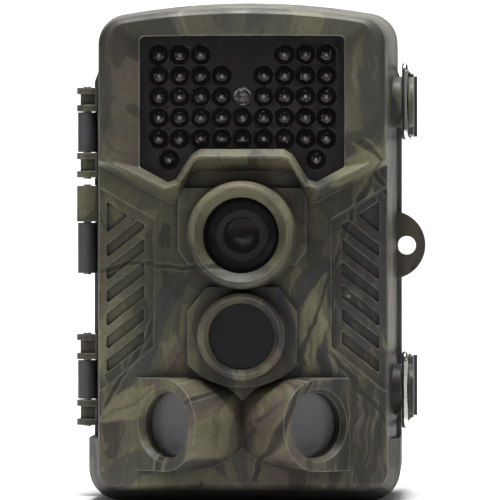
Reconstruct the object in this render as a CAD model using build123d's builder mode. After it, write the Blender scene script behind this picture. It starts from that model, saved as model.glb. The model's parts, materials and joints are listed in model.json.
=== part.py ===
"""Trail camera: two hinged half shells, infrared lamp, lens, three motion sensors and a battery tray.

Millimetres. +Z is up, -Y is the way the camera looks, +X is the latch side.
The origin is the mouth of the tripod thread, in the flat underside.
"""
from build123d import *
from math import cos, radians, sin
import os

os.makedirs("parts", exist_ok=True)

# ---------------------------------------------------------------- driving dimensions
HEIGHT = 135.0  # underside to the crown of the top
HALF_WIDTH = 42.0  # half the width of the rear shell and of the foot
PART_Y = -10.0  # plane where the two halves meet
BACK_Y = 25.0  # back face of the rear shell
HOOD_Y = -42.0  # front rim round the lamp window
DECK_Y = -36.0  # flat front plate
WALL = 2.2  # shell wall
FOOT_TOP = 17.0  # the foot is the full width below this height

FRONT_HALF = 41.0  # half width of the front shell at the parting plane
RIM_HALF = 37.9  # half width of the front shell at the hood's rim
TOP_ARC_RADIUS = 194.0  # the top is a shallow arch
RIM_CROWN = 131.5  # crown of the arch at the hood's rim
FRONT_BOTTOM = 1.0  # underside of the front shell above the foot's own
RIM_BOTTOM = 4.6

LENS_Z = 71.4  # lens axis
EYE_Z = 44.6  # centre motion sensor axis
HUMP_Z = 21.1  # side motion sensor axes
HUMP_ANGLE = 42.0  # how far the side sensors look to each side
HUMP_RADIUS = 12.3

HINGE_X = -44.0  # door hinge axis
HINGE_Y = PART_Y
BARREL_RADIUS = 2.6
PIN_RADIUS = 1.1
PIN_CLEARANCE = 0.05

LATCH_HEIGHTS = (107.6, 29.8)  # middles of the two latches
LED_PITCH = 5.6
LAMP_TOP_ROW = 119.6  # height of the top row of lamps


def facing(y):
    """A sketch plane seen from the front, at depth y: sketch x is X and sketch y is Z."""
    return Plane.XZ.offset(-y)


def arch(half, crown):
    """Height of the top's arch at a distance half from the middle, for a crown height."""
    return crown - half * half / (2 * TOP_ARC_RADIUS)


def finish(builder, name):
    """Name a finished piece and write it."""
    builder.part.label = name
    export_step(builder.part, "parts/" + name + ".step")


def mirrored(points):
    """A left-hand run of points followed by its mirror image, as one closed outline."""
    return list(points) + [(-x, z) for x, z in reversed(points)]


# ---------------------------------------------------------------- outlines of the housing
def housing_sketch(y, half, crown, bottom, top_r, foot_r):
    """Face of the housing at depth y: arched top, straight sides, flat bottom."""
    shoulder = arch(half, crown)
    with BuildSketch(facing(y)) as face:
        with BuildLine():
            Polyline((-half, shoulder), (-half, bottom), (half, bottom), (half, shoulder))
            ThreePointArc((half, shoulder), (0, crown), (-half, shoulder))
        make_face()
        corners = face.vertices()
        fillet(corners.filter_by(lambda v: v.Y > HEIGHT / 2), top_r)
        fillet(face.vertices().filter_by(lambda v: v.Y < bottom + 0.01), foot_r)
    return face.sketch


def between(y, low, high):
    """A size at depth y on a straight run from low at the parting plane to high at the rim."""
    share = (y - PART_Y) / (HOOD_Y - PART_Y)
    return low + share * (high - low)


def front_outline(y, inset=0.0):
    """Outer outline of the front shell at depth y, drawn in by inset."""
    return housing_sketch(
        y,
        between(y, FRONT_HALF, RIM_HALF) - inset,
        between(y, HEIGHT, RIM_CROWN) - inset,
        between(y, FRONT_BOTTOM, RIM_BOTTOM) + inset,
        between(y, 8.2, 7.0) - inset * 0.7,
        between(y, 7.5, 4.0) - inset * 0.5,
    )


def rear_outline(y, inset=0.0):
    """Outline of the rear shell at depth y: full width, drawn in near the top under the front shell."""
    half = HALF_WIDTH - inset
    neck = FRONT_HALF - 0.2 - inset
    crown = HEIGHT - 0.3 - inset
    shoulder = arch(neck, crown)
    bottom = inset
    with BuildSketch(facing(y)) as face:
        with BuildLine():
            Polyline(
                (-neck, shoulder), (-neck, 117.0), (-half, 113.6), (-half, bottom),
                (half, bottom), (half, 113.6), (neck, 117.0), (neck, shoulder),
            )
            ThreePointArc((neck, shoulder), (0, crown), (-neck, shoulder))
        make_face()
        fillet(face.vertices().filter_by(lambda v: v.Y > 120), 8.4 - 0.7 * inset)
        fillet(face.vertices().filter_by(lambda v: v.Y < bottom + 0.01), 8.8 - 0.8 * inset)
    return face.sketch


def foot_outline(y, draw_in):
    """Outline of the flared foot at depth y, cut off level at the foot's top."""
    with BuildSketch(facing(y)) as face:
        with BuildLine():
            Polyline(
                (-HALF_WIDTH + draw_in, FOOT_TOP), (-HALF_WIDTH + draw_in, draw_in),
                (HALF_WIDTH - draw_in, draw_in), (HALF_WIDTH - draw_in, FOOT_TOP), close=True,
            )
        make_face()
        fillet(face.vertices().filter_by(lambda v: v.Y < FOOT_TOP - 1), 8.8 - draw_in)
    return face.sketch


# ---------------------------------------------------------------- hood and lamp window outlines
# Left halves, from the outside to the middle. The hood's lower edge is an arm each side of the lens.
HOOD_ARM_RIM = [(-46.0, 95.4), (-20.4, 83.5), (-16.6, 84.5), (-12.3, 91.3), (-10.6, 91.8)]
HOOD_ARM_DECK = [(-46.0, 94.4), (-19.8, 80.2), (-17.2, 80.0), (-13.6, 87.4), (-11.6, 88.4)]
WINDOW = [(-27.2, 124.3), (-27.2, 89.5), (-19.7, 85.5), (-17.7, 86.2), (-13.5, 92.9), (-11.2, 94.3)]
WINDOW_RADII = [1.3, 0.8, 0.8, 0.8, 1.2, 1.2]
FUNNEL = [(-34.4, 127.9), (-34.4, 90.7), (-20.3, 84.1), (-17.1, 84.9), (-12.8, 91.8), (-11.0, 92.4)]
FUNNEL_RADII = [4.2, 1.2, 1.2, 1.2, 1.6, 1.6]
FUNNEL_CROWN = 130.9
THROAT_Y = -38.7  # front of the lamp window pane
PANE = 1.6  # thickness of the lamp window pane


def spread(points, share):
    """Points moved out from the hood's deck outline to its rim outline by a share of the way."""
    return [
        (a[0] + (b[0] - a[0]) * share, a[1] + (b[1] - a[1]) * share)
        for a, b in zip(HOOD_ARM_DECK, points)
    ]


def below_hood(y, points):
    """Everything below the hood's arms at depth y, for cutting the front back to the deck."""
    with BuildSketch(facing(y)) as face:
        with BuildLine():
            Polyline(*mirrored([(-46.0, -6.0)] + points), close=True)
        make_face()
        soft = face.vertices().filter_by(lambda v: abs(v.X) < 22)
        fillet(soft, 0.9)
    return face.sketch


def window_outline(y, points, radii, crown=None, grow=0.0):
    """The lamp window's outline at depth y, with an arched top where a crown is given."""
    with BuildSketch(facing(y)) as face:
        with BuildLine():
            run = mirrored(points)
            Polyline(*run)
            if crown is None:
                Line(run[-1], run[0])
            else:
                ThreePointArc(run[-1], (0, crown), run[0])
        make_face()
        for (x, z), radius in zip(points, radii):
            level = face.vertices().filter_by(lambda v: abs(v.Y - z) < 0.01)
            fillet(level.filter_by(lambda v: abs(abs(v.X) - abs(x)) < 0.01), radius)
        if grow:
            offset(amount=grow)
    return face.sketch


# ---------------------------------------------------------------- grip panels beside the lens
PANEL_DEPTH = 1.2
POCKET_DEPTH = 0.9
PANEL = [(-42.0, 86.6), (-23.7, 75.8), (-23.7, 41.6), (-42.0, 26.2)]
GROOVE_LEFT = -36.5
GROOVE_RIGHT = -26.3
GROOVE_RISE = 8.05  # how far a groove climbs over its length
GROOVE_TALL = 3.6
GROOVE_PITCH = 6.18
GROOVE_LOW = 65.4  # foot of the top groove


def groove_outlines():
    """Left-hand grooves: one triangle, one clipped groove, then five whole ones below it."""
    outlines = [
        [(GROOVE_LEFT, 80.7), (-30.6, 76.9), (GROOVE_LEFT, 71.9)],
        [
            (GROOVE_LEFT, GROOVE_LOW), (GROOVE_RIGHT, GROOVE_LOW + GROOVE_RISE),
            (GROOVE_RIGHT, GROOVE_LOW + GROOVE_RISE + 1.0), (-28.2, 75.5),
            (GROOVE_LEFT, GROOVE_LOW + GROOVE_TALL),
        ],
    ]
    for step in range(1, 6):
        low = GROOVE_LOW - step * GROOVE_PITCH
        outlines.append([
            (GROOVE_LEFT, low), (GROOVE_RIGHT, low + GROOVE_RISE),
            (GROOVE_RIGHT, low + GROOVE_RISE + GROOVE_TALL), (GROOVE_LEFT, low + GROOVE_TALL),
        ])
    return outlines


# ---------------------------------------------------------------- turned and plain forms
def turned(points, centre_z, mode=Mode.ADD):
    """Revolve a half section of (radius, y) points about a fore-and-aft axis at a height."""
    with BuildSketch(Plane.XY.offset(centre_z)) as section:
        with BuildLine():
            Polyline(*points, close=True)
        make_face()
    revolve(section.sketch, axis=Axis((0, 0, centre_z), (0, 1, 0)), mode=mode)


def block(x, y, z, mode=Mode.ADD):
    """A box between low and high values along each axis."""
    with Locations((x[0], y[0], z[0])):
        Box(
            x[1] - x[0], y[1] - y[0], z[1] - z[0],
            align=(Align.MIN, Align.MIN, Align.MIN), mode=mode,
        )


def upright(x, y, z, radius, mode=Mode.ADD):
    """A vertical cylinder at x, y between two heights."""
    with Locations((x, y, z[0])):
        Cylinder(radius, z[1] - z[0], align=(Align.CENTER, Align.CENTER, Align.MIN), mode=mode)


def prism(y, points, depth, mode=Mode.ADD, corner=0.0, taper=0.0):
    """A front-view outline made solid from depth y, backwards by a depth."""
    with BuildSketch(facing(y)) as face:
        with BuildLine():
            Polyline(*points, close=True)
        make_face()
        if corner:
            fillet(face.vertices(), corner)
    extrude(face.sketch, amount=-depth, taper=taper, mode=mode)


# ---------------------------------------------------------------- front shell
EYE_RADIUS = 8.8
HUMP_BACK_Y = DECK_Y + 16.0  # where the side sensor axes cross the middle
HUMP_REACH = 20.7 / sin(radians(HUMP_ANGLE))  # from the crossing to the end face
HUMP_BORE = 8.7
CAVITY_FRONT_Y = -33.0
KNUCKLES = ((105.5, 111.9), (87.4, 94.1), (75.3, 85.1), (37.6, 44.5), (19.6, 26.5))  # on the front shell
SOLID_KNUCKLE = KNUCKLES[2]
BARRELS = ((94.4, 105.2), (61.2, 75.0), (26.8, 37.3))  # on the rear shell
PINS = ((87.0, 112.3), (60.8, 85.5), (19.2, 44.9))
LUG_Y = -18.0  # middle of the latch lugs
LUG_RADIUS = 6.9
EYE_TAB = (39.3, 68.9, 9.3)  # centre X, centre Z and radius of the padlock tab
EYE_HOLE = (43.5, 68.8, 2.5)
TAB = 2.6  # thickness of each padlock tab


def hump_plane(side, reach):
    """Plane square to a side sensor's axis, at a distance from where the axes cross."""
    a = radians(HUMP_ANGLE)
    origin = (side * sin(a) * reach, HUMP_BACK_Y - cos(a) * reach, HUMP_Z)
    return Plane(origin=origin, x_dir=(cos(a), side * sin(a), 0), z_dir=(side * sin(a), -cos(a), 0))


def tab_plate(y, thickness):
    """Padlock tab on the latch side, from depth y backwards."""
    x, z, radius = EYE_TAB
    with BuildSketch(facing(y)) as plate:
        with Locations((x, z)):
            Circle(radius)
        with Locations((x - 8.0, z)):
            Rectangle(17.2, 40, mode=Mode.SUBTRACT)
        with Locations((EYE_HOLE[0], EYE_HOLE[1])):
            Circle(EYE_HOLE[2], mode=Mode.SUBTRACT)
    extrude(plate.sketch, amount=-thickness)


with BuildPart() as front_shell:
    add(front_outline(PART_Y))
    add(front_outline(HOOD_Y))
    loft(ruled=True)
    fillet(front_shell.faces().sort_by(Axis.Y)[0].edges(), 3.2)
    add(below_hood(DECK_Y, HOOD_ARM_DECK))
    add(below_hood(HOOD_Y - 0.6, spread(HOOD_ARM_RIM, 1.1)))
    loft(ruled=True, mode=Mode.SUBTRACT)
    rim = front_shell.edges().filter_by(
        lambda e: abs(e.center().Y - DECK_Y) < 0.01 and (abs(e.center().X) > 30 or e.center().Z < 8)
    )
    fillet(rim, 2.0)
    # flared foot
    add(foot_outline(PART_Y, 0.0))
    add(foot_outline(-26.0, 0.0))
    loft(ruled=True)
    add(foot_outline(-26.0, 0.0))
    add(foot_outline(-34.0, 3.6))
    loft(ruled=True)
    # grip panels and their grooves
    for side in (-1, 1):
        panel = [(-side * x, z) for x, z in PANEL]
        prism(DECK_Y, panel, PANEL_DEPTH, mode=Mode.SUBTRACT, taper=20)
        for outline in groove_outlines():
            groove = [(-side * x, z) for x, z in outline]
            prism(DECK_Y + PANEL_DEPTH, groove, POCKET_DEPTH, mode=Mode.SUBTRACT, corner=0.45, taper=8)
    # raised plateaus under the lens ring and the centre eye
    prism(DECK_Y - 2.0, mirrored([(-17.0, 84.0), (-17.0, 67.4), (-14.2, 63.7)]), 3.0, corner=0.6, taper=-8)
    with BuildSketch(facing(DECK_Y - 2.0)):
        with BuildLine():
            Polyline((-14.5, 36.8), (-14.5, 51.2), (-9.5, 57.6), (9.5, 57.6), (14.5, 51.2), (14.5, 36.8))
            ThreePointArc((14.5, 36.8), (0, 30.9), (-14.5, 36.8))
        make_face()
    extrude(amount=-3.0, taper=-8)
    # lens ring and centre eye ring
    turned([(0, -36), (15.0, -36), (13.9, -45.6), (13.4, -46.6), (12.6, -47.0), (0, -47.0)], LENS_Z)
    turned([(0, -36), (12.2, -36), (11.7, -42.0), (11.3, -42.5), (10.9, -42.6), (0, -42.6)], EYE_Z)
    # side sensor humps: round towards the middle, square towards the outside
    for side in (-1, 1):
        with BuildSketch(hump_plane(side, HUMP_REACH)):
            Circle(HUMP_RADIUS)
            with Locations((side * 9.0, 0)):
                Rectangle(18.0, 2 * HUMP_RADIUS)
        extrude(amount=-20.0)
    # hinge knuckles
    for low, high in KNUCKLES:
        upright(HINGE_X, HINGE_Y, (low, high), 2.85)
        block((HINGE_X, -40.9), (HINGE_Y - 2.85, HINGE_Y), (low, high))
        if (low, high) != SOLID_KNUCKLE:
            block(
                (HINGE_X - 3.2, -41.5), (HINGE_Y - 3.2, HINGE_Y + 3.2), (low + 1.7, high - 1.7),
                Mode.SUBTRACT,
            )
            upright(HINGE_X, HINGE_Y, (low + 1.5, high - 1.5), 1.9)
            block((HINGE_X, -40.9), (HINGE_Y - 1.9, HINGE_Y), (low + 1.5, high - 1.5))
        upright(HINGE_X, HINGE_Y, (low - 1, high + 1), PIN_RADIUS + PIN_CLEARANCE, Mode.SUBTRACT)
    # latch lugs: a drum, a groove for the wire and an outer lip
    for height in LATCH_HEIGHTS:
        with Locations(Plane(origin=(36.6, LUG_Y, height), z_dir=(1, 0, 0))):
            Cylinder(LUG_RADIUS, 5.6, align=(Align.CENTER, Align.CENTER, Align.MIN))
            Cylinder(LUG_RADIUS - 1.5, 8.0, align=(Align.CENTER, Align.CENTER, Align.MIN))
        with Locations(Plane(origin=(44.1, LUG_Y, height), z_dir=(1, 0, 0))):
            Cylinder(LUG_RADIUS - 0.2, 1.4, align=(Align.CENTER, Align.CENTER, Align.MIN))
    # hollow inside
    add(front_outline(PART_Y + 0.1, WALL))
    add(front_outline(CAVITY_FRONT_Y, WALL))
    loft(ruled=True, mode=Mode.SUBTRACT)
    # lamp window: funnel, seat for the pane and the bay behind it
    add(window_outline(HOOD_Y, FUNNEL, FUNNEL_RADII, crown=FUNNEL_CROWN))
    add(window_outline(THROAT_Y, WINDOW, WINDOW_RADII, crown=124.5))
    loft(ruled=True, mode=Mode.SUBTRACT)
    bay = window_outline(THROAT_Y, WINDOW, WINDOW_RADII, crown=124.5, grow=1.2)
    extrude(bay, amount=-8.0, mode=Mode.SUBTRACT)
    # lens tunnel and eye opening
    turned([(0, -49), (12.3, -49), (12.3, -46.9), (10.1, -44.2), (10.1, -39.6), (9.0, -39.6),
            (9.0, -30), (0, -30)], LENS_Z, Mode.SUBTRACT)
    turned([(0, -49), (10.2, -49), (10.2, -42.5), (8.8, -41.1), (8.8, -38.9), (8.0, -38.9),
            (8.0, -30), (0, -30)], EYE_Z, Mode.SUBTRACT)
    # side sensor bores
    for side in (-1, 1):
        with BuildSketch(hump_plane(side, HUMP_REACH)):
            Circle(9.7)
        extrude(amount=-1.7, taper=28, mode=Mode.SUBTRACT)
        with BuildSketch(hump_plane(side, HUMP_REACH)):
            Circle(HUMP_BORE)
        extrude(amount=-5.2, mode=Mode.SUBTRACT)
        with BuildSketch(hump_plane(side, HUMP_REACH)):
            Circle(7.9)
        extrude(amount=-26.0, mode=Mode.SUBTRACT)
    # microphone pinhole
    with Locations(Plane(origin=(28.2, -33, 55.0), z_dir=(0, 1, 0))):
        Cylinder(0.45, 6, mode=Mode.SUBTRACT)
    tab_plate(PART_Y - TAB, TAB)
finish(front_shell, "front_shell")


# ---------------------------------------------------------------- lamp behind the smoked window
def lamp_spots():
    """Lamp places: six rows, with the sensor's place and the gaps round it left out."""
    spots = []
    for row, columns in enumerate((
        (-4, -3, -2, 2, 3, 4), (-4, -3, -2, -1, 1, 2, 3, 4), (-4, -3, -2, -1, 1, 2, 3, 4),
        (-4, -3, -2, -1, 0, 1, 2, 3, 4), (-4, -3, -2, -1, 0, 1, 2, 3, 4), (-3.5, 3.5),
    )):
        spots += [(column * LED_PITCH, LAMP_TOP_ROW - row * LED_PITCH) for column in columns]
    return spots


SENSOR_SPOT = (0.0, 108.4)
HOLDER_Y = THROAT_Y + PANE + 0.9  # front of the lamp holder plate
BOARD_Y = -29.0  # front of the lamp board
GLASS_FIT = 0.05

with BuildPart() as lamp_window:
    pane = window_outline(THROAT_Y, WINDOW, WINDOW_RADII, crown=124.5, grow=1.2 - GLASS_FIT)
    extrude(pane, amount=-PANE)
finish(lamp_window, "lamp_window")

with BuildPart() as lamp_holder:
    plate = window_outline(HOLDER_Y, WINDOW, WINDOW_RADII, crown=124.5, grow=0.9)
    extrude(plate, amount=-1.6)
    with BuildSketch(facing(HOLDER_Y)):
        with Locations(*lamp_spots()):
            Circle(2.66)
        with Locations(SENSOR_SPOT):
            Circle(2.75)
    extrude(amount=-1.6, mode=Mode.SUBTRACT)
finish(lamp_holder, "lamp_holder")


def lamp(spot, radius, tip_y, flange):
    """A domed lamp: round nose, straight body and a flange seated on the board."""
    x, z = spot
    with Locations(Plane(origin=(x, BOARD_Y, z), z_dir=(0, -1, 0))):
        Cylinder(radius, BOARD_Y - tip_y - radius, align=(Align.CENTER, Align.CENTER, Align.MIN))
        Cylinder(flange, 1.0, align=(Align.CENTER, Align.CENTER, Align.MIN))
    with Locations((x, tip_y + radius, z)):
        Sphere(radius)


with BuildPart() as infrared_lamps:
    for spot in lamp_spots():
        lamp(spot, 2.45, HOLDER_Y - 0.4, 2.75)
finish(infrared_lamps, "infrared_lamps")

with BuildPart() as light_sensor:
    lamp(SENSOR_SPOT, 2.6, HOLDER_Y - 0.6, 2.75)
finish(light_sensor, "light_sensor")

with BuildPart() as lamp_board:
    board = window_outline(BOARD_Y, WINDOW, WINDOW_RADII, crown=124.5, grow=0.6)
    extrude(board, amount=-1.6)
finish(lamp_board, "lamp_board")

# ---------------------------------------------------------------- lens, from the front backwards
with BuildPart() as lens_cover:
    turned([(0, -40.8), (10.05, -40.8), (10.05, -39.6), (0, -39.6)], LENS_Z)
finish(lens_cover, "lens_cover")

with BuildPart() as lens_barrel:
    turned([
        (4.8, -38.6), (6.9, -38.6), (6.9, -34.0), (6.0, -34.0), (6.0, -25.0), (4.6, -25.0),
        (4.6, -35.6), (5.6, -37.6),
    ], LENS_Z)
finish(lens_barrel, "lens_barrel")

with BuildPart() as front_lens:
    turned([
        (0, -37.3), (1.2, -37.24), (2.3, -36.98), (3.3, -36.55), (4.1, -36.0), (4.55, -35.6),
        (4.55, -34.6), (0, -34.6),
    ], LENS_Z)
finish(front_lens, "front_lens")

with BuildPart() as rear_lens:
    turned([(0, -30.2), (4.55, -29.4), (4.55, -27.4), (0, -26.6)], LENS_Z)
finish(rear_lens, "rear_lens")

with BuildPart() as lens_mount:
    block((-9, 9), (-31.0, -19.0), (LENS_Z - 9, LENS_Z + 9))
    turned([(0, -32), (6.0, -32), (6.0, -22), (0, -22)], LENS_Z, Mode.SUBTRACT)
    block((-7.5, 7.5), (-22.4, -18), (LENS_Z - 7.5, LENS_Z + 7.5), Mode.SUBTRACT)
    block((-12, 12), (-24.6, -22.4), (LENS_Z - 6.2, LENS_Z + 6.2), Mode.SUBTRACT)
finish(lens_mount, "lens_mount")

FILTER_TRAVEL = 6.6
with BuildPart() as filter_slide:
    block((-11.8, 5.2), (-24.4, -22.8), (LENS_Z - 5.9, LENS_Z + 5.9))
    for x in (0.0, -FILTER_TRAVEL):
        with Locations(Plane(origin=(x, -23.6, LENS_Z), z_dir=(0, 1, 0))):
            Cylinder(3.0, 3, mode=Mode.SUBTRACT)
finish(filter_slide, "filter_slide")

with BuildPart() as filter_glass:
    for x in (0.0, -FILTER_TRAVEL):
        with Locations(Plane(origin=(x, -23.6, LENS_Z), z_dir=(0, 1, 0))):
            Cylinder(3.0, 0.8)
finish(filter_glass, "filter_glass")

with BuildPart() as image_sensor:
    block((-4, 4), (-20.4, -19.4), (LENS_Z - 3.5, LENS_Z + 3.5))
finish(image_sensor, "image_sensor")

with BuildPart() as sensor_board:
    block((-14, 14), (-19.0, -17.8), (LENS_Z - 11, LENS_Z + 11))
    block((-4, 4), (-19.4, -19.0), (LENS_Z - 3.5, LENS_Z + 3.5))
finish(sensor_board, "sensor_board")

# ---------------------------------------------------------------- motion sensors
with BuildPart() as eye_window:
    turned([(0, -40.0), (EYE_RADIUS - GLASS_FIT, -40.0), (EYE_RADIUS - GLASS_FIT, -38.9), (0, -38.9)], EYE_Z)
finish(eye_window, "eye_window")

for side, name in ((-1, "left_eye_lens"), (1, "right_eye_lens")):
    with BuildPart() as eye_lens:
        with BuildSketch(hump_plane(side, HUMP_REACH - 4.2)):
            Circle(HUMP_BORE - GLASS_FIT)
        extrude(amount=-1.0)
    finish(eye_lens, name)


def can(plane):
    """A round metal sensor can with its flange and window, on a plane that faces its view."""
    with Locations(plane):
        Cylinder(4.1, 3.6, align=(Align.CENTER, Align.CENTER, Align.MIN))
        Cylinder(4.6, 0.6, align=(Align.CENTER, Align.CENTER, Align.MIN))
        with Locations((0, 0, 3.6)):
            Box(3.4, 3.4, 0.5, align=(Align.CENTER, Align.CENTER, Align.CENTER), mode=Mode.SUBTRACT)


EYE_PLANES = [
    Plane(origin=(0, -30.6, EYE_Z), x_dir=(1, 0, 0), z_dir=(0, -1, 0)),
    hump_plane(-1, 15.0),
    hump_plane(1, 15.0),
]
with BuildPart() as motion_sensors:
    for plane in EYE_PLANES:
        can(plane)
finish(motion_sensors, "motion_sensors")

with BuildPart() as sensor_carriers:
    for plane in EYE_PLANES:
        with Locations(plane):
            Box(10.6, 10.0, 1.2, align=(Align.CENTER, Align.CENTER, Align.MAX))
finish(sensor_carriers, "sensor_carriers")

with BuildPart() as microphone:
    with Locations(Plane(origin=(28.2, -32.2, 55.0), z_dir=(0, 1, 0))):
        Cylinder(3.0, 2.6, align=(Align.CENTER, Align.CENTER, Align.MIN))
        Cylinder(2.0, 3.2, align=(Align.CENTER, Align.CENTER, Align.MIN))
finish(microphone, "microphone")

# ---------------------------------------------------------------- inside face of the front half
PANEL_Y = -12.0  # front of the inner cover
PANEL_THICK = 1.7
SCREEN_Z = 98.0
SCREEN = (49.0, 37.0)  # visible screen
KEY_Z = 57.0
BAY_X = 24.0  # half width of the socket bay
BAY_Z = (10.5, 31.0)
BAY_DEPTH = 8.0
KEYS = {
    "key_up": (0.0, KEY_Z + 8.6),
    "key_down": (0.0, KEY_Z - 8.6),
    "key_left": (-8.6, KEY_Z),
    "key_right": (8.6, KEY_Z),
    "key_ok": (0.0, KEY_Z),
    "key_menu": (-23.0, KEY_Z),
}
KEY_RADIUS = 3.0
SWITCH_X = 23.0
SWITCH_TRAVEL = 6.0
CARD_X = -9.0
CARD = (24.0, 2.1, 32.0)
CARD_Y = -17.8  # middle of the card's thickness
PANEL_SCREWS = [(-34.2, 122.0), (34.2, 122.0), (-34.8, 62.0), (34.8, 62.0), (-34.0, 12.0), (34.0, 12.0)]

with BuildPart() as inner_cover:
    extrude(front_outline(PANEL_Y, WALL + 0.2), amount=-PANEL_THICK)
    with BuildSketch(facing(PANEL_Y + PANEL_THICK)):
        with Locations((0, SCREEN_Z)):
            RectangleRounded(SCREEN[0] + 9, SCREEN[1] + 9, 3.0)
    extrude(amount=-1.0)
    with BuildSketch(facing(PANEL_Y)):
        with Locations((0, SCREEN_Z)):
            RectangleRounded(SCREEN[0] + 3, SCREEN[1] + 3, 1.5)
        with Locations(*KEYS.values()):
            Circle(KEY_RADIUS + 0.2)
        with Locations((SWITCH_X, KEY_Z)):
            SlotOverall(SWITCH_TRAVEL + 4.2, 3.4, rotation=90)
        with Locations((0, (BAY_Z[0] + BAY_Z[1]) / 2)):
            RectangleRounded(2 * BAY_X, BAY_Z[1] - BAY_Z[0], 1.5)
    extrude(amount=-4.0, mode=Mode.SUBTRACT)
    # bay for the card and sockets: four walls and a floor
    block(
        (-BAY_X - 1.2, BAY_X + 1.2), (PANEL_Y - BAY_DEPTH - 1.2, PANEL_Y + 0.1),
        (BAY_Z[0] - 1.2, BAY_Z[1] + 1.2),
    )
    block((-BAY_X, BAY_X), (PANEL_Y - BAY_DEPTH, PANEL_Y + 3), BAY_Z, Mode.SUBTRACT)
    block(
        (CARD_X - 12.3, CARD_X + 12.3), (CARD_Y - 1.3, CARD_Y + 1.3), (BAY_Z[1] - 1, BAY_Z[1] + 3),
        Mode.SUBTRACT,
    )
    block((6.0, 14.2), (-19.4, -15.6), (BAY_Z[1] - 1, BAY_Z[1] + 3), Mode.SUBTRACT)
    upright(19.6, -17.5, (BAY_Z[1] - 1, BAY_Z[1] + 3), 1.85, Mode.SUBTRACT)
    for x, z in PANEL_SCREWS:
        with Locations(Plane(origin=(x, PANEL_Y, z), z_dir=(0, 1, 0))):
            Cylinder(1.2, 8, mode=Mode.SUBTRACT)
        with Locations(Plane(origin=(x, PANEL_Y + 0.8, z), z_dir=(0, 1, 0))):
            Cylinder(2.2, 3, align=(Align.CENTER, Align.CENTER, Align.MIN), mode=Mode.SUBTRACT)
finish(inner_cover, "inner_cover")

with BuildPart() as cover_screws:
    for x, z in PANEL_SCREWS:
        with Locations(Plane(origin=(x, PANEL_Y - 5.0, z), z_dir=(0, 1, 0))):
            Cylinder(1.15, 5.8, align=(Align.CENTER, Align.CENTER, Align.MIN))
        with Locations(Plane(origin=(x, PANEL_Y + 0.8, z), z_dir=(0, 1, 0))):
            Cylinder(2.1, 0.9, align=(Align.CENTER, Align.CENTER, Align.MIN))
            Box(2.6, 0.6, 0.9, align=(Align.CENTER, Align.CENTER, Align.CENTER), mode=Mode.SUBTRACT)
            Box(0.6, 2.6, 0.9, align=(Align.CENTER, Align.CENTER, Align.CENTER), mode=Mode.SUBTRACT)
finish(cover_screws, "cover_screws")

with BuildPart() as screen_glass:
    with BuildSketch(facing(PANEL_Y + 1.2)):
        with Locations((0, SCREEN_Z)):
            RectangleRounded(SCREEN[0] + 2.8, SCREEN[1] + 2.8, 1.4)
    extrude(amount=-1.2)
finish(screen_glass, "screen_glass")

with BuildPart() as screen:
    block((-28, 28), (-14.2, -12.3), (SCREEN_Z - 22, SCREEN_Z + 22))
finish(screen, "screen")

with BuildPart() as main_board:
    block((-35, 35), (-16.0, -14.4), (34.0, 124.0))
    for x, z in PANEL_SCREWS:
        with Locations(Plane(origin=(x, -15, z), z_dir=(0, 1, 0))):
            Cylinder(2.6, 4, mode=Mode.SUBTRACT)
finish(main_board, "main_board")

CHIPS = ((-22, 104, 14, 14), (-20, 82, 12, 9), (18, 104, 10, 16), (22, 76, 8, 8), (-30, 46, 8, 7))

with BuildPart() as board_chips:
    for x, z, wide, tall in CHIPS:
        block((x - wide / 2, x + wide / 2), (-17.3, -16.0), (z - tall / 2, z + tall / 2))
finish(board_chips, "board_chips")

with BuildPart() as key_switches:
    for x, z in KEYS.values():
        block((x - 2.2, x + 2.2), (-14.4, -13.2), (z - 2.2, z + 2.2))
finish(key_switches, "key_switches")

for name, (x, z) in KEYS.items():
    with BuildPart() as key:
        with Locations(Plane(origin=(x, -12.6, z), z_dir=(0, 1, 0))):
            Cylinder(KEY_RADIUS, 3.4, align=(Align.CENTER, Align.CENTER, Align.MIN))
        fillet(key.faces().sort_by(Axis.Y)[-1].edges(), 0.7)
        with Locations(Plane(origin=(x, -12.6, z), z_dir=(0, 1, 0))):
            Cylinder(KEY_RADIUS + 0.8, 0.5, align=(Align.CENTER, Align.CENTER, Align.MIN))
    finish(key, name)

with BuildPart() as mode_switch:
    low = KEY_Z - SWITCH_TRAVEL / 2
    block((SWITCH_X - 1.3, SWITCH_X + 1.3), (-12.7, -9.3), (low - 1.2, low + 1.2))
    fillet(mode_switch.faces().sort_by(Axis.Y)[-1].edges(), 0.5)
    block((SWITCH_X - 2.4, SWITCH_X + 2.4), (-12.7, -12.1), (low - 2.6, low + 2.6))
finish(mode_switch, "mode_switch")

with BuildPart() as switch_body:
    block((SWITCH_X - 2.6, SWITCH_X + 2.6), (-14.4, -12.8), (KEY_Z - 6.5, KEY_Z + 6.5))
finish(switch_body, "switch_body")

with BuildPart() as card_slot:
    block((CARD_X - 13.0, CARD_X + 13.0), (CARD_Y - 1.75, -16.0), (BAY_Z[1] + 1.4, BAY_Z[1] + 29.4))
    block(
        (CARD_X - 12.2, CARD_X + 12.2), (CARD_Y - 1.25, CARD_Y + 1.25), (BAY_Z[1], BAY_Z[1] + 28.8),
        Mode.SUBTRACT,
    )
finish(card_slot, "card_slot")

with BuildPart() as memory_card:
    width, thick, tall = CARD
    top = BAY_Z[1] + 28.0
    with BuildSketch(facing(CARD_Y - thick / 2)):
        with BuildLine():
            Polyline(
                (CARD_X - 12, top - tall), (CARD_X + 12, top - tall), (CARD_X + 12, top - 4),
                (CARD_X + 8, top), (CARD_X - 12, top), close=True,
            )
        make_face()
    extrude(amount=-thick)
finish(memory_card, "memory_card")

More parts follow.
